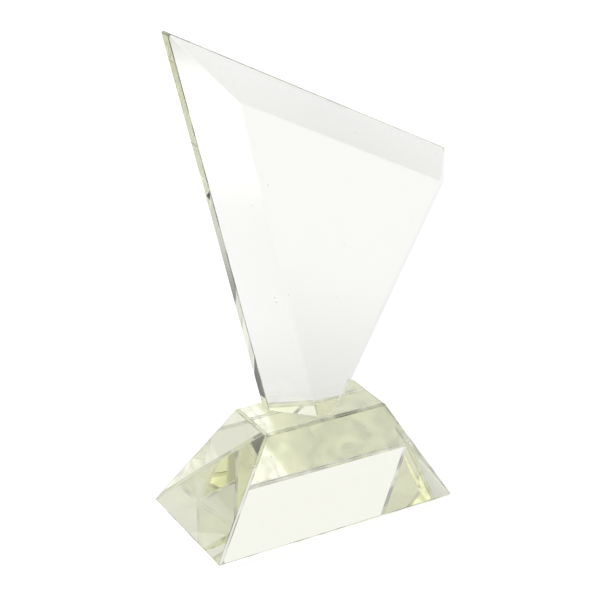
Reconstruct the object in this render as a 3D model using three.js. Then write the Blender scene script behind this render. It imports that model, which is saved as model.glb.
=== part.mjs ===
// A free-standing cut-glass award: a leaning, sail-shaped blade stands upright on a truncated-pyramid base,
// held by a thin film of cured clear adhesive.
//
// Frame: millimetres, +Z up, +X along the base's long side, +Y towards the back.
// Origin: the centre of the base's underside.
//
// Both glass pieces are convex blocks ground flat on a wheel, so each is described by its ground planes.
// Every edge then gets the small polished flat that stops the glass chipping.

import * as THREE from "three";

// Base block
const BASE_LENGTH = 126;
const BASE_DEPTH = 60.4;
const BASE_HEIGHT = 48.6;
const BASE_TOP_LENGTH = 63;
const BASE_TOP_DEPTH = 26.3;
const BASE_EDGE_FLAT = 0.9;

// Blade: its back face carries the full outline, and the front face is smaller by the width of each bevel
const BLADE_THICKNESS = 20;
const BLADE_RIM = 5.8;
const BLADE_EDGE_FLAT = 0.3;
const FOOT_LEFT_X = -19.7;
const FOOT_RIGHT_X = 21.8;
const PEAK = { x: -75.4, z: 227 };
const SHOULDER_TOP = { x: 65.1, z: 160.6 };
const SHOULDER_LOW = { x: 66.6, z: 144.8 };
const PEAK_CUT = 1.5;
const LEFT_BEVEL = 16;
const TOP_BEVEL = 13.3;
const RIGHT_BEVEL = 15.5;

// Adhesive film between the base's top and the blade's foot
const FILM_THICKNESS = 0.15;

// Heights and depths that follow from the sizes above
const FOOT_Z = BASE_HEIGHT + FILM_THICKNESS;
const FRONT_Y = -BLADE_THICKNESS / 2;
const BACK_Y = BLADE_THICKNESS / 2;
const RIM_Y = BACK_Y - BLADE_RIM;

// Points closer than this are one corner
const SAME_POINT = 1e-4;
// Half-size of the blank that every plane is cut from
const BLANK = 1000;

// ---------------------------------------------------------------- ground solids

// The plane through three points, with its normal pointing away from the inside point.
function planeThrough(a, b, c, inside) {
  const plane = new THREE.Plane().setFromCoplanarPoints(a, b, c);
  if (plane.distanceToPoint(inside) > 0) {
    plane.negate();
  }
  return plane;
}

// A square larger than any piece, lying in the plane, counter-clockwise seen from outside.
function blankOn(plane) {
  const turn = new THREE.Quaternion().setFromUnitVectors(new THREE.Vector3(0, 0, 1), plane.normal);
  const centre = plane.coplanarPoint(new THREE.Vector3());
  const corners = [[-BLANK, -BLANK], [BLANK, -BLANK], [BLANK, BLANK], [-BLANK, BLANK]];
  return corners.map(([x, y]) => new THREE.Vector3(x, y, 0).applyQuaternion(turn).add(centre));
}

// The part of a loop of points that lies behind the plane.
function clipLoop(loop, plane) {
  const kept = [];
  loop.forEach((point, i) => {
    const next = loop[(i + 1) % loop.length];
    const here = plane.distanceToPoint(point);
    const there = plane.distanceToPoint(next);
    if (here <= 0) {
      kept.push(point);
    }
    if (here < 0 !== there < 0) {
      kept.push(point.clone().lerp(next, here / (here - there)));
    }
  });
  return kept;
}

// The faces of the convex solid behind all the planes: for each plane, its loop of corner numbers.
function groundFaces(planes) {
  const corners = [];
  const cornerNumber = (point) => {
    const known = corners.findIndex((corner) => corner.distanceTo(point) < SAME_POINT);
    return known >= 0 ? known : corners.push(point) - 1;
  };
  const faces = planes.map((plane) => {
    const others = planes.filter((other) => other !== plane);
    const loop = others.reduce(clipLoop, blankOn(plane)).map(cornerNumber);
    return { normal: plane.normal, loop: loop.filter((number, i) => number !== loop.at(i - 1)) };
  });
  return { corners, faces };
}

// Each face's corners, drawn in from both of their edges by the width of the edge flat.
function insetLoop(face, corners, inset) {
  const count = face.loop.length;
  const inward = face.loop.map((number, i) => {
    const along = corners[face.loop[(i + 1) % count]].clone().sub(corners[number]);
    return face.normal.clone().cross(along).normalize();
  });
  return face.loop.map((number, i) => {
    const before = inward[(i + count - 1) % count];
    const after = inward[i];
    const shift = before.clone().add(after).multiplyScalar(inset / (1 + before.dot(after)));
    return corners[number].clone().add(shift);
  });
}

// A closed mesh of the solid behind all the planes, with a narrow flat along every edge and at every corner.
function groundSolid(planes, edgeFlat) {
  const { corners, faces } = groundFaces(planes);
  const insets = faces.map((face) => insetLoop(face, corners, edgeFlat));
  const polygons = [...insets];

  // which face runs along each edge, in the direction that its loop takes
  const faceOfEdge = new Map();
  faces.forEach((face, f) => {
    face.loop.forEach((from, i) => {
      const to = face.loop[(i + 1) % face.loop.length];
      faceOfEdge.set(`${from}>${to}`, f);
    });
  });
  const insetAt = (f, number) => insets[f][faces[f].loop.indexOf(number)];

  // one flat between each pair of neighbouring faces
  const nextFaceAround = corners.map(() => new Map());
  faceOfEdge.forEach((f, edge) => {
    const [from, to] = edge.split(">").map(Number);
    const neighbour = faceOfEdge.get(`${to}>${from}`);
    nextFaceAround[from].set(neighbour, f);
    if (f < neighbour) {
      polygons.push([insetAt(f, to), insetAt(f, from), insetAt(neighbour, from), insetAt(neighbour, to)]);
    }
  });

  // one flat at each corner, with a point for each face that meets there
  nextFaceAround.forEach((nextFace, number) => {
    const ring = [];
    let f = nextFace.keys().next().value;
    while (ring.length < nextFace.size) {
      ring.push(insetAt(f, number));
      f = nextFace.get(f);
    }
    if (ring.length > 2) {
      polygons.push(ring);
    }
  });
  return facetedGeometry(polygons);
}

// Flat-shaded triangles from convex polygons.
function facetedGeometry(polygons) {
  const positions = [];
  polygons.forEach((polygon) => {
    for (let i = 1; i + 1 < polygon.length; i += 1) {
      positions.push(...polygon[0], ...polygon[i], ...polygon[i + 1]);
    }
  });
  const geometry = new THREE.BufferGeometry();
  geometry.setAttribute("position", new THREE.Float32BufferAttribute(positions, 3));
  geometry.computeVertexNormals();
  return geometry;
}

// ---------------------------------------------------------------- base

function basePlanes() {
  const inside = new THREE.Vector3(0, 0, BASE_HEIGHT / 2);
  const corner = (sideX, sideY, length, depth, z) =>
    new THREE.Vector3(sideX * length / 2, sideY * depth / 2, z);
  const bottom = (sideX, sideY) => corner(sideX, sideY, BASE_LENGTH, BASE_DEPTH, 0);
  const top = (sideX, sideY) => corner(sideX, sideY, BASE_TOP_LENGTH, BASE_TOP_DEPTH, BASE_HEIGHT);
  return [
    planeThrough(bottom(-1, -1), bottom(1, -1), bottom(1, 1), inside),
    planeThrough(top(-1, -1), top(1, -1), top(1, 1), inside),
    planeThrough(bottom(-1, -1), bottom(1, -1), top(1, -1), inside),
    planeThrough(bottom(-1, 1), bottom(1, 1), top(1, 1), inside),
    planeThrough(bottom(-1, -1), bottom(-1, 1), top(-1, 1), inside),
    planeThrough(bottom(1, -1), bottom(1, 1), top(1, 1), inside),
  ];
}

// ---------------------------------------------------------------- blade

const BLADE_INSIDE = new THREE.Vector3(0, 0, (FOOT_Z + PEAK.z) / 2);

function at(point, y) {
  return new THREE.Vector3(point.x, y, point.z);
}

// An outline edge moved towards the middle of the blade, as two points in the front view.
function movedIn([a, b], distance) {
  const middle = { x: BLADE_INSIDE.x, z: BLADE_INSIDE.z };
  const length = Math.hypot(b.x - a.x, b.z - a.z);
  const normal = { x: (b.z - a.z) / length, z: (a.x - b.x) / length };
  const side = Math.sign(normal.x * (middle.x - a.x) + normal.z * (middle.z - a.z));
  const move = (point) => ({
    x: point.x + side * distance * normal.x,
    z: point.z + side * distance * normal.z,
  });
  return [move(a), move(b)];
}

// The point where two edges of the front view cross.
function crossing([a, b], [c, d]) {
  const turn = (b.x - a.x) * (d.z - c.z) - (b.z - a.z) * (d.x - c.x);
  const along = ((c.x - a.x) * (d.z - c.z) - (c.z - a.z) * (d.x - c.x)) / turn;
  return { x: a.x + along * (b.x - a.x), z: a.z + along * (b.z - a.z) };
}

// The narrow face square to the back, which runs along an outline edge.
function rimPlane([a, b]) {
  return planeThrough(at(a, BACK_Y), at(b, BACK_Y), at(a, RIM_Y), BLADE_INSIDE);
}

// The wide sloping face from the rim to the front.
function bevelPlane([a, b], width) {
  return planeThrough(at(a, RIM_Y), at(b, RIM_Y), at(movedIn([a, b], width)[0], FRONT_Y), BLADE_INSIDE);
}

// The small face that blunts a sharp corner of the outline, square to the back.
function cornerCut(corner, [before, after], distance) {
  const step = (towards) => {
    const length = Math.hypot(towards.x - corner.x, towards.z - corner.z);
    const share = distance / length;
    return { x: corner.x + share * (towards.x - corner.x), z: corner.z + share * (towards.z - corner.z) };
  };
  return rimPlane([step(before), step(after)]);
}

function bladePlanes() {
  const footLeft = { x: FOOT_LEFT_X, z: FOOT_Z };
  const footRight = { x: FOOT_RIGHT_X, z: FOOT_Z };
  const left = [footLeft, PEAK];
  const top = [PEAK, SHOULDER_TOP];
  const shoulder = [SHOULDER_TOP, SHOULDER_LOW];
  const right = [SHOULDER_LOW, footRight];

  // the shoulder's bevel is a triangle that ends where the top and right bevels meet the front face
  const frontCorner = crossing(movedIn(top, TOP_BEVEL), movedIn(right, RIGHT_BEVEL));
  const shoulderBevel = planeThrough(
    at(SHOULDER_TOP, RIM_Y), at(SHOULDER_LOW, RIM_Y), at(frontCorner, FRONT_Y), BLADE_INSIDE);

  return [
    new THREE.Plane(new THREE.Vector3(0, 0, -1), FOOT_Z),
    new THREE.Plane(new THREE.Vector3(0, -1, 0), FRONT_Y),
    new THREE.Plane(new THREE.Vector3(0, 1, 0), -BACK_Y),
    rimPlane(left), rimPlane(top), rimPlane(shoulder), rimPlane(right),
    cornerCut(PEAK, [footLeft, SHOULDER_TOP], PEAK_CUT),
    bevelPlane(left, LEFT_BEVEL), bevelPlane(top, TOP_BEVEL), shoulderBevel, bevelPlane(right, RIGHT_BEVEL),
  ];
}

// ---------------------------------------------------------------- adhesive

// A film with the outline of the blade's foot, which also fills the small flats around it.
function filmGeometry() {
  const { corners, faces } = groundFaces(bladePlanes());
  const foot = faces.find((face) => face.normal.z === -1);
  const outline = foot.loop.map((number) => new THREE.Vector2(corners[number].x, corners[number].y));
  return new THREE.ExtrudeGeometry(new THREE.Shape(outline), { depth: FILM_THICKNESS, bevelEnabled: false });
}

// ---------------------------------------------------------------- assembly

function piece(name, geometry, material) {
  const mesh = new THREE.Mesh(geometry, new THREE.MeshStandardMaterial(material));
  mesh.name = name;
  return mesh;
}

const crystal = { color: 0xe4eacb, roughness: 0.02, metalness: 0, transparent: true, opacity: 0.4 };
const clearAdhesive = { color: 0xf3f1e2, roughness: 0.08, metalness: 0, transparent: true, opacity: 0.4 };

const base = piece("crystal_base", groundSolid(basePlanes(), BASE_EDGE_FLAT), crystal);
const blade = piece("crystal_blade", groundSolid(bladePlanes(), BLADE_EDGE_FLAT), crystal);
const film = piece("adhesive_film", filmGeometry(), clearAdhesive);
film.position.z = BASE_HEIGHT;

const group = new THREE.Group();
group.add(base, film, blade);

export default group;
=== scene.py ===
"""Looks of the crystal award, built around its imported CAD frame.

The two glass pieces and the adhesive film between them are rebuilt here as clean facet meshes from their CAD
solids. Everything is in metres, in the CAD frame: +Z up, +X along the base's long side and +Y to the back.
The origin is under the middle of the base.
"""

import math

import bmesh
import bpy
from mathutils import Matrix, Vector


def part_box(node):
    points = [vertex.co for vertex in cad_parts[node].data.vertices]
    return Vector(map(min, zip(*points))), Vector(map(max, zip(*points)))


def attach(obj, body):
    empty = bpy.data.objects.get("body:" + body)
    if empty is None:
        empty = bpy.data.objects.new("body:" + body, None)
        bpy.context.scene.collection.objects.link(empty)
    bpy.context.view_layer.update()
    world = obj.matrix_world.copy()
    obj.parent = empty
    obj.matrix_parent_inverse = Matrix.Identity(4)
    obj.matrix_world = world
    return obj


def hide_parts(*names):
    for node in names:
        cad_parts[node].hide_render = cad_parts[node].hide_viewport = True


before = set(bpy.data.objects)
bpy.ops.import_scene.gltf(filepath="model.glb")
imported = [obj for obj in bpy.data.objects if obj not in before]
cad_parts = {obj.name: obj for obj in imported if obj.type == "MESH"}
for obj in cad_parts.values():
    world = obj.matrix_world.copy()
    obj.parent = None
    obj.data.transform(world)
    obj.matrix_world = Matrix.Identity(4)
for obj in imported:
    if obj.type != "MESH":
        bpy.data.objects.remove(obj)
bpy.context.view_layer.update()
BASE_LOW, BASE_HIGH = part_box("crystal_base")
FILM_LOW, FILM_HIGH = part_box("adhesive_film")
MM = 0.001

# Camera: the photograph's viewpoint, with its distances in units of the base's length
BASE_LENGTH = 125 * MM
AZIMUTH = math.radians(-33.91)
ELEVATION = math.radians(25.21)
ROLL = math.radians(3.67)
DISTANCE = 5.798 * BASE_LENGTH
AIM_RIGHT = -0.0178 * BASE_LENGTH
AIM_UP = 0.7309 * BASE_LENGTH
LENS_MM = 93.9
SENSOR_MM = 36
CLIP_START = 0.01
CLIP_END = 50

# Meshes: when corners are one, when triangles are one facet, when a face is level and at the top, and the gap
# left between the film and the glass
MERGE_DISTANCE = 0.001 * MM
FACET_ANGLE = math.radians(0.2)
LEVEL_NORMAL = 0.999
LEVEL_DEPTH = 0.01 * MM
FILM_CLEARANCE = 0.02 * MM

# Glass and adhesive: each has a faint tint that shows along the long light paths
GLASS_IOR = 1.52
TINT_DENSITY = 3.0
TINT_COLOUR = (0.70, 0.73, 0.20, 1)
ADHESIVE_DENSITY = 60.0
ADHESIVE_COLOUR = (0.75, 0.72, 0.35, 1)
WHITE = (1, 1, 1, 1)

# Ground edges, darkened with painted shade: how dull and shaded each kind is, from 0 for polished to 1 for
# the dark colour
# The near-black colour painted on the ground edges and creases as shade
EDGE_SHADE_COLOUR = (0.05, 0.055, 0.06, 1)
GROUND_ROUGHNESS = 0.25
BASE_CREASE = 1.0
BASE_FLAT = 0.25
BASE_TOP_FLAT = 0.8
BLADE_MITRE = 0.05
BLADE_OUTLINE = 1.0

# How the ground edges are told from the other faces: by the most that they are wide, by where the blade's rim
# begins, and by how far a flat's normal leans along an axis
BASE_FLAT_WIDTH = 2.2 * MM
BLADE_FLAT_WIDTH = 0.8 * MM
BLADE_RIM_FRONT = 3.7 * MM
CREASE = 0.18 * MM
CREASE_WIDTH = 3 * CREASE
LEANS_SLIGHTLY = 0.1
LEANS_CLEARLY = 0.3

# Patchy variation along the ground edges, of their dullness and their painted dark shade: the noise that
# varies it, the noise values between which it goes from least to full, and the least
PATCH_SIZE = 9 * MM
PATCH_DETAIL = 2.0
PATCH_NOISE = (0.35, 0.65)
PATCH_LEAST = 0.40

# Surface detail of the polished faces: polishing waves, faint smears and a few specks of dust, sized in parts
# of their spacing
WAVE_SIZE = 16 * MM
WAVE_DETAIL = 1.0
WAVE_HEIGHT = 0.002 * MM
SMEAR_SIZE = 30 * MM
SMEAR_DETAIL = 3.0
SMEAR_NOISE = (0.55, 0.8)
SMEAR_ROUGHNESS = 0.02
SPECK_SPACING = 5 * MM
SPECK_SIZE = 0.07
SPECK_CORE = 0.6 * SPECK_SIZE
SPECK_SHARE = 0.15
SPECK_COLOUR = (0.25, 0.25, 0.25, 1)

# Studio: a white light tent with dimmer and brighter cards hung in it. The tent's walls and top change in
# brightness between two values of how far a direction goes to the back, or up.
UPWARDS = Vector((0, 0, 1))
TO_BACK = Vector((-math.sin(AZIMUTH), math.cos(AZIMUTH), 0))
TO_RIGHT = Vector((math.cos(AZIMUTH), math.sin(AZIMUTH), 0))
TENT_FRONT = 0.82
TENT_BACK = 1.0
TENT_TOP = 0.95
TENT_WALLS_CHANGE = (-0.3, 0.6)
TENT_TOP_CHANGE = (0.75, 0.95)
CARDS = [
    # direction to the right, back and up, half-angle, softness of the edge, brightness
    ((-0.39, -0.73, 0.56), math.radians(10), math.radians(1.5), 0.15),
    ((1.00, 0.10, -0.36), math.radians(20), math.radians(5), 0.85),
    ((0.97, 0.26, -0.07), math.radians(4.5), math.radians(2), 0.1),
    ((0.96, 0.28, 0.09), math.radians(6), math.radians(2), 0.75),
    ((0.27, 0.59, 0.76), math.radians(8), math.radians(4), 0.5),
    ((-0.19, 0.36, 0.91), math.radians(12), math.radians(6), 0.72),
    ((-0.33, 0.25, 0.91), math.radians(7), math.radians(4), 0.6),
    ((-0.76, 0.25, 0.60), math.radians(8), math.radians(4), 0.6),
    ((0.55, -0.48, 0.69), math.radians(7), math.radians(4), 1.35),
    ((-0.89, 0.08, 0.45), math.radians(8), math.radians(4), 1.25),
]
SEEN_BACKGROUND = 1.1

# Paper: its strip, and soft pools of light on it that show in the glass
PAPER_LEFT, PAPER_RIGHT = -2.0, 0.68
PAPER_FRONT, PAPER_BACK = -1.0, 4.0
PAPER_BELOW = 0.05 * MM
PAPER_COLOUR = (0.90, 0.90, 0.90, 1)
PAPER_GLOW = 0.02
PAPER_SEEN = 0.35
POOLS = [
    # centre, distances where it starts and stops to fade, brightness
    (0.15 * TO_RIGHT + 0.60 * TO_BACK, 0.34, 0.60, 0.215),
    (0.40 * TO_RIGHT + 0.85 * TO_BACK, 0.15, 0.45, 0.25),
    (-0.10 * TO_RIGHT + 0.13 * TO_BACK, 0.03, 0.10, 0.07),
]

# Light thrown on the paper under the base: it is stronger and whiter towards the base's left end, and mottled
THROWN_COLOUR = (0.30, 0.31, 0.20, 1)
THROWN_EDGE = 2 * MM
THROWN_FALL = (-4 * MM, 18 * MM)
THROWN_LEFT = 1.4
LEFT_END_AXIS = Vector((0.95, -0.31, 0))
LEFT_END_FALL = (-15 * MM, -11.5 * MM)
LEFT_END_COLOUR = (0.53, 0.53, 0.47, 1)
MOTTLE_SIZE = 13 * MM
MOTTLE_DETAIL = 4.0
MOTTLE_SWIRL = 1.2
MOTTLE_NOISE = (0.33, 0.67)
MOTTLE_RANGE = (0.70, 1.25)

# Bounces that a light path may take
GLASS_BOUNCES = 32
OTHER_BOUNCES = 16


# ---------------------------------------------------------------- shader nodes


# The Mix node's sockets for colours, which share their names with its other sockets
MIX_FIRST, MIX_SECOND, MIX_RESULT = 6, 7, 2


def new_material(name):
    """An empty node material: the material, its node tree and its output node."""
    material = bpy.data.materials.new(name)
    material.use_nodes = True
    tree = material.node_tree
    tree.nodes.clear()
    return material, tree, tree.nodes.new("ShaderNodeOutputMaterial")


def feed(tree, sockets, values):
    """Link each socket to its value if that is a socket too, and else set it to the value."""
    for socket, value in zip(sockets, values):
        if isinstance(value, bpy.types.NodeSocket):
            tree.links.new(value, socket)
        else:
            socket.default_value = value


def maths(tree, operation, *values):
    """A Math node. Each value is a number or a socket."""
    made = tree.nodes.new("ShaderNodeMath")
    made.operation = operation
    feed(tree, made.inputs, values)
    return made.outputs["Value"]


def vector_maths(tree, operation, *values, output="Vector"):
    """A Vector Math node. Each value is a vector or a socket."""
    made = tree.nodes.new("ShaderNodeVectorMath")
    made.operation = operation
    feed(tree, made.inputs, values)
    return made.outputs[output]


def ramp(tree, value, start, end, low=0.0, high=1.0):
    """A smooth change from low to high while a value goes from start to end."""
    made = tree.nodes.new("ShaderNodeMapRange")
    made.interpolation_type = "SMOOTHSTEP"
    tree.links.new(value, made.inputs["Value"])
    made.inputs["From Min"].default_value = start
    made.inputs["From Max"].default_value = end
    made.inputs["To Min"].default_value = low
    made.inputs["To Max"].default_value = high
    return made.outputs["Result"]


def along(tree, vector, axis):
    """How far a vector goes along an axis of length 1."""
    return vector_maths(tree, "DOT_PRODUCT", vector, axis, output="Value")


def clouds(tree, place, size, detail, swirl=0.0):
    """Soft cloudy noise from 0 to 1, with blotches of about the given size."""
    noise = tree.nodes.new("ShaderNodeTexNoise")
    tree.links.new(place, noise.inputs["Vector"])
    noise.inputs["Scale"].default_value = 1 / size
    noise.inputs["Detail"].default_value = detail
    noise.inputs["Distortion"].default_value = swirl
    return noise.outputs["Fac"]


def colour_mix(tree, factor, first, second):
    """A mix of two colours. Each is a colour or a socket."""
    made = tree.nodes.new("ShaderNodeMix")
    made.data_type = "RGBA"
    tree.links.new(factor, made.inputs["Factor"])
    feed(tree, (made.inputs[MIX_FIRST], made.inputs[MIX_SECOND]), (first, second))
    return made.outputs[MIX_RESULT]


def face_value(tree, layer):
    """The value that a mesh carries for each face in a named layer."""
    attribute = tree.nodes.new("ShaderNodeAttribute")
    attribute.attribute_name = layer
    return attribute.outputs["Fac"]


def add_shaders(tree, *shaders):
    """The sum of several shaders."""
    total = shaders[0]
    for shader in shaders[1:]:
        made = tree.nodes.new("ShaderNodeAddShader")
        tree.links.new(total.outputs[0], made.inputs[0])
        tree.links.new(shader.outputs[0], made.inputs[1])
        total = made
    return total


# ---------------------------------------------------------------- materials


def specks(tree, place):
    """1 on a few tiny specks strewn over a surface, and 0 elsewhere."""
    cells = tree.nodes.new("ShaderNodeTexVoronoi")
    cells.inputs["Scale"].default_value = 1 / SPECK_SPACING
    tree.links.new(place, cells.inputs["Vector"])
    dot = ramp(tree, cells.outputs["Distance"], SPECK_SIZE, SPECK_CORE)
    lot = tree.nodes.new("ShaderNodeSeparateColor")
    tree.links.new(cells.outputs["Color"], lot.inputs["Color"])
    drawn = maths(tree, "GREATER_THAN", lot.outputs["Red"], 1 - SPECK_SHARE)
    return maths(tree, "MULTIPLY", dot, drawn)


def glass_material(name, tint_colour, tint_density):
    """Clear polished glass with a body tint, ground edges darkened with painted shade, and the traces of
    polishing and handling.
    """
    material, tree, output = new_material(name)
    shader = tree.nodes.new("ShaderNodeBsdfPrincipled")
    shader.inputs["Transmission Weight"].default_value = 1.0
    place = tree.nodes.new("ShaderNodeTexCoord").outputs["Object"]

    # The ground edges get a painted dark shade in their colour and roughness in their finish, both weaker in
    # random patches
    patchy = ramp(tree, clouds(tree, place, PATCH_SIZE, PATCH_DETAIL), *PATCH_NOISE, PATCH_LEAST, 1.0)
    ground = maths(tree, "MULTIPLY", face_value(tree, "ground"), patchy)
    clear = colour_mix(tree, ground, WHITE, EDGE_SHADE_COLOUR)
    dusted = colour_mix(tree, specks(tree, place), clear, SPECK_COLOUR)
    tree.links.new(dusted, shader.inputs["Base Color"])

    smudged = clouds(tree, place, SMEAR_SIZE, SMEAR_DETAIL)
    smears = ramp(tree, smudged, *SMEAR_NOISE, 0.0, SMEAR_ROUGHNESS)
    roughness = maths(tree, "MULTIPLY_ADD", ground, GROUND_ROUGHNESS, smears)
    tree.links.new(roughness, shader.inputs["Roughness"])
    waves = tree.nodes.new("ShaderNodeBump")
    waves.inputs["Distance"].default_value = WAVE_HEIGHT
    tree.links.new(clouds(tree, place, WAVE_SIZE, WAVE_DETAIL), waves.inputs["Height"])
    tree.links.new(waves.outputs["Normal"], shader.inputs["Normal"])

    # Faces bonded to each other don't bend the light, so they don't show
    bond = ramp(tree, face_value(tree, "bonded"), 0.0, 1.0, GLASS_IOR, 1.0)
    tree.links.new(bond, shader.inputs["IOR"])
    tint = tree.nodes.new("ShaderNodeVolumeAbsorption")
    tint.inputs["Color"].default_value = tint_colour
    tint.inputs["Density"].default_value = tint_density
    tree.links.new(shader.outputs[0], output.inputs["Surface"])
    tree.links.new(tint.outputs[0], output.inputs["Volume"])
    return material


def half_plane(tree, place, point, inwards, softness):
    """1 on the side of a line on the floor that inwards points to, and 0 on the other side."""
    offset = vector_maths(tree, "SUBTRACT", place, Vector((*point, 0)))
    return ramp(tree, along(tree, offset, Vector((*inwards, 0))), -softness, softness)


def thrown_light(tree, place):
    """A pale green, cloudy glow on the paper, standing in for the light that comes down through the base."""
    sides = [
        # a point on the base's outline, and the way inwards from there
        ((BASE_LOW.x, 0), (1, 0)),
        ((BASE_HIGH.x, 0), (-1, 0)),
        ((0, BASE_LOW.y), (0, 1)),
        ((0, BASE_HIGH.y), (0, -1)),
    ]
    lengthwise = along(tree, place, Vector((1, 0, 0)))
    strength = ramp(tree, lengthwise, *THROWN_FALL, THROWN_LEFT, 1.0)
    for point, inwards in sides:
        inside = half_plane(tree, place, point, inwards, THROWN_EDGE)
        strength = maths(tree, "MULTIPLY", strength, inside)
    mottled = clouds(tree, place, MOTTLE_SIZE, MOTTLE_DETAIL, MOTTLE_SWIRL)
    mottling = ramp(tree, mottled, *MOTTLE_NOISE, *MOTTLE_RANGE)
    left_end = ramp(tree, along(tree, place, LEFT_END_AXIS), *LEFT_END_FALL, 1.0, 0.0)
    colour = colour_mix(tree, left_end, THROWN_COLOUR, LEFT_END_COLOUR)
    glow = tree.nodes.new("ShaderNodeEmission")
    tree.links.new(colour, glow.inputs["Color"])
    tree.links.new(maths(tree, "MULTIPLY", strength, mottling), glow.inputs["Strength"])
    return glow


def floor_material():
    """Pale paper with soft pools of light on it. Seen directly, it is as white as the background."""
    material, tree, output = new_material("pale_floor")
    place = tree.nodes.new("ShaderNodeNewGeometry").outputs["Position"]
    paper = tree.nodes.new("ShaderNodeBsdfDiffuse")
    paper.inputs["Color"].default_value = PAPER_COLOUR
    seen = tree.nodes.new("ShaderNodeLightPath").outputs["Is Camera Ray"]
    strength = maths(tree, "MULTIPLY_ADD", seen, PAPER_SEEN, PAPER_GLOW)
    for centre, start, stop, brightness in POOLS:
        reach = vector_maths(tree, "DISTANCE", place, centre, output="Value")
        strength = maths(tree, "ADD", strength, ramp(tree, reach, start, stop, brightness, 0.0))
    glow = tree.nodes.new("ShaderNodeEmission")
    tree.links.new(strength, glow.inputs["Strength"])
    lit = add_shaders(tree, paper, glow, thrown_light(tree, place))
    tree.links.new(lit.outputs[0], output.inputs["Surface"])
    return material


# ---------------------------------------------------------------- meshes


def facet_mesh(cad_node):
    """A clean bmesh of a CAD solid: shared corners, and one polygon for each flat face."""
    mesh = bmesh.new()
    mesh.faces.layers.float.new("bonded")
    mesh.faces.layers.float.new("ground")
    mesh.from_mesh(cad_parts[cad_node].data)
    bmesh.ops.remove_doubles(mesh, verts=mesh.verts, dist=MERGE_DISTANCE)
    bmesh.ops.dissolve_limit(mesh, angle_limit=FACET_ANGLE, verts=mesh.verts, edges=mesh.edges)
    for face in mesh.faces:
        face.smooth = False
    return mesh


def width(face):
    """The width of a long narrow face."""
    return 2 * face.calc_area() / face.calc_perimeter()


def mark_ground(mesh, widest, dullness_and_shade):
    """Mark the faces up to a given width as ground, with painted dark shade. The dullness and shade come from
    a rule on the face.
    """
    layer = mesh.faces.layers.float["ground"]
    for face in mesh.faces:
        if width(face) < widest:
            face[layer] = dullness_and_shade(face)


def mark_bonded(mesh, faces):
    """Mark faces as bonded to another piece."""
    layer = mesh.faces.layers.float["bonded"]
    for face in faces:
        face[layer] = 1.0


def foot_outline():
    """The corners of the blade's foot, counter-clockwise from above, as the adhesive film has them."""
    film = facet_mesh("adhesive_film")
    top = max(film.faces, key=lambda face: face.normal.z)
    outline = [vertex.co.copy() for vertex in top.verts]
    film.free()
    return outline


def base_flat(face):
    """How dull a flat of the base is, and so how dark its painted shade: duller and darker on the top's long
    edges and on all slanted edges but one.
    """
    normal = face.normal
    top_edge = abs(normal.x) < LEANS_SLIGHTLY and normal.z > LEANS_SLIGHTLY
    slanted = abs(normal.x) > LEANS_CLEARLY and abs(normal.y) > LEANS_CLEARLY
    front_left = normal.x < 0 and normal.y < 0
    return BASE_TOP_FLAT if top_edge or (slanted and not front_left) else BASE_FLAT


def blade_flat(face):
    """How dull a flat of the blade is, and so how dark its painted shade: duller and darker along the outline
    than where two bevels meet.
    """
    return BLADE_OUTLINE if face.calc_center_median().y > BLADE_RIM_FRONT else BLADE_MITRE


def top_faces(mesh):
    """The faces that make up the base's top, inside its flats."""
    lowest = BASE_HIGH.z - LEVEL_DEPTH
    return [
        face for face in mesh.faces
        if face.normal.z > LEVEL_NORMAL and face.calc_center_median().z > lowest
    ]


def base_mesh(outline):
    """The base, with a crease line beside every flat and the blade's foot cut out of its top as a face."""
    mesh = facet_mesh("crystal_base")
    mark_ground(mesh, BASE_FLAT_WIDTH, base_flat)
    bmesh.ops.bevel(mesh, geom=mesh.edges[:], offset=CREASE, segments=1, affect="EDGES", profile=0.5)
    # Each crease line is marked fully dull, so it carries the full painted dark shade of the edges
    mark_ground(mesh, CREASE_WIDTH, lambda face: BASE_CREASE)
    for corner, following in zip(outline, outline[1:] + outline[:1]):
        side = following - corner
        across = Vector((side.y, -side.x, 0)).normalized()
        region = set()
        for face in top_faces(mesh):
            region.update([face], face.edges, face.verts)
        bmesh.ops.bisect_plane(mesh, geom=list(region), plane_co=corner, plane_no=across)
    middle = sum(outline, Vector()) / len(outline)
    foot = min(top_faces(mesh), key=lambda face: (face.calc_center_median().xy - middle.xy).length)
    mark_bonded(mesh, [foot])
    return mesh


def blade_mesh():
    """The blade, with its ground flats and the face that it is bonded by."""
    mesh = facet_mesh("crystal_blade")
    mark_ground(mesh, BLADE_FLAT_WIDTH, blade_flat)
    foot = min(mesh.faces, key=lambda face: face.calc_center_median().z)
    mark_bonded(mesh, [foot])
    return mesh


def film_mesh():
    """The adhesive film, a little thinner than in the CAD, so that no faces coincide with the glass."""
    mesh = facet_mesh("adhesive_film")
    middle = (FILM_LOW.z + FILM_HIGH.z) / 2
    for vertex in mesh.verts:
        vertex.co.z += FILM_CLEARANCE if vertex.co.z < middle else -FILM_CLEARANCE
    mark_bonded(mesh, [face for face in mesh.faces if abs(face.normal.z) > LEVEL_NORMAL])
    return mesh


def piece_from(mesh, name, material, cad_node):
    """The finished object of a bmesh, riding on the award and standing for its CAD solid."""
    data = bpy.data.meshes.new(name)
    mesh.to_mesh(data)
    mesh.free()
    data.materials.append(material)
    piece = bpy.data.objects.new(name, data)
    bpy.context.scene.collection.objects.link(piece)
    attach(piece, "root")
    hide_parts(cad_node)
    return piece


# ---------------------------------------------------------------- studio


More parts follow.
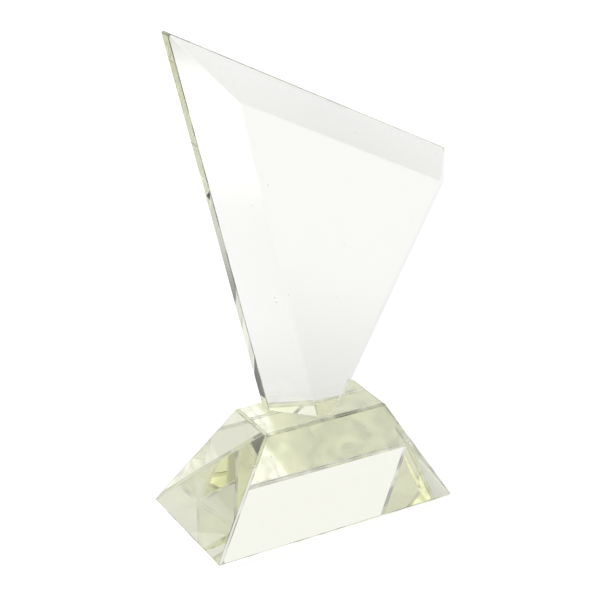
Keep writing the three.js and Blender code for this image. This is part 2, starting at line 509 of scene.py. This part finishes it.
def floor():
    """The strip of paper that the award stands on, squared up with the camera."""
    outline = [
        (PAPER_LEFT, PAPER_FRONT),
        (PAPER_RIGHT, PAPER_FRONT),
        (PAPER_RIGHT, PAPER_BACK),
        (PAPER_LEFT, PAPER_BACK),
    ]
    below = Vector((0, 0, -PAPER_BELOW))
    corners = [right * TO_RIGHT + back * TO_BACK + below for right, back in outline]
    data = bpy.data.meshes.new("floor")
    data.from_pydata(corners, [], [range(4)])
    data.materials.append(floor_material())
    paper = bpy.data.objects.new("floor", data)
    bpy.context.scene.collection.objects.link(paper)


def studio_light():
    """The light tent. Seen directly, it is a plain white background."""
    world = bpy.data.worlds.new("studio")
    bpy.context.scene.world = world
    world.use_nodes = True
    tree = world.node_tree
    direction = tree.nodes.new("ShaderNodeTexCoord").outputs["Generated"]
    walls = ramp(tree, along(tree, direction, TO_BACK), *TENT_WALLS_CHANGE, TENT_FRONT, TENT_BACK)
    top = ramp(tree, along(tree, direction, UPWARDS), *TENT_TOP_CHANGE, 1.0, TENT_TOP)
    strength = maths(tree, "MULTIPLY", walls, top)
    for (right, back, up), half_angle, softness, brightness in CARDS:
        axis = right * TO_RIGHT + back * TO_BACK + up * UPWARDS
        edge = math.cos(half_angle + softness), math.cos(half_angle - softness)
        card = ramp(tree, along(tree, direction, axis.normalized()), *edge, 1.0, brightness)
        strength = maths(tree, "MULTIPLY", strength, card)
    seen = tree.nodes.new("ShaderNodeLightPath").outputs["Is Camera Ray"]
    rest = maths(tree, "MULTIPLY", strength, maths(tree, "SUBTRACT", 1.0, seen))
    background = tree.nodes["Background"]
    background.inputs["Color"].default_value = WHITE
    shown = maths(tree, "MULTIPLY_ADD", seen, SEEN_BACKGROUND, rest)
    tree.links.new(shown, background.inputs["Strength"])


def camera():
    """The camera at the photograph's viewpoint, rolled as the photograph is."""
    back = Vector((
        math.sin(AZIMUTH) * math.cos(ELEVATION),
        -math.cos(AZIMUTH) * math.cos(ELEVATION),
        math.sin(ELEVATION),
    ))
    level_up = back.cross(TO_RIGHT)
    right = math.cos(ROLL) * TO_RIGHT + math.sin(ROLL) * level_up
    up = math.cos(ROLL) * level_up - math.sin(ROLL) * TO_RIGHT
    data = bpy.data.cameras.new("camera")
    data.lens = LENS_MM
    data.sensor_width = SENSOR_MM
    data.clip_start = CLIP_START
    data.clip_end = CLIP_END
    made = bpy.data.objects.new("camera", data)
    place = DISTANCE * back + AIM_RIGHT * right + AIM_UP * up
    made.matrix_world = Matrix.Translation(place) @ Matrix((right, up, back)).transposed().to_4x4()
    bpy.context.scene.collection.objects.link(made)
    bpy.context.scene.camera = made


def render_look():
    """Plain colours, an even share of samples, and enough bounces for light to get through the glass."""
    scene = bpy.context.scene
    scene.view_settings.view_transform = "Standard"
    scene.cycles.use_denoising = True
    scene.cycles.use_adaptive_sampling = False
    scene.cycles.sampling_pattern = "TABULATED_SOBOL"
    scene.cycles.max_bounces = GLASS_BOUNCES
    scene.cycles.transmission_bounces = GLASS_BOUNCES
    scene.cycles.glossy_bounces = OTHER_BOUNCES
    scene.cycles.transparent_max_bounces = OTHER_BOUNCES


# ---------------------------------------------------------------- the award


camera()
glass = glass_material("polished_glass", TINT_COLOUR, TINT_DENSITY)
adhesive = glass_material("clear_adhesive", ADHESIVE_COLOUR, ADHESIVE_DENSITY)
piece_from(base_mesh(foot_outline()), "base_block", glass, "crystal_base")
piece_from(blade_mesh(), "sail_blade", glass, "crystal_blade")
piece_from(film_mesh(), "adhesive_bead", adhesive, "adhesive_film")
floor()
studio_light()
render_look()
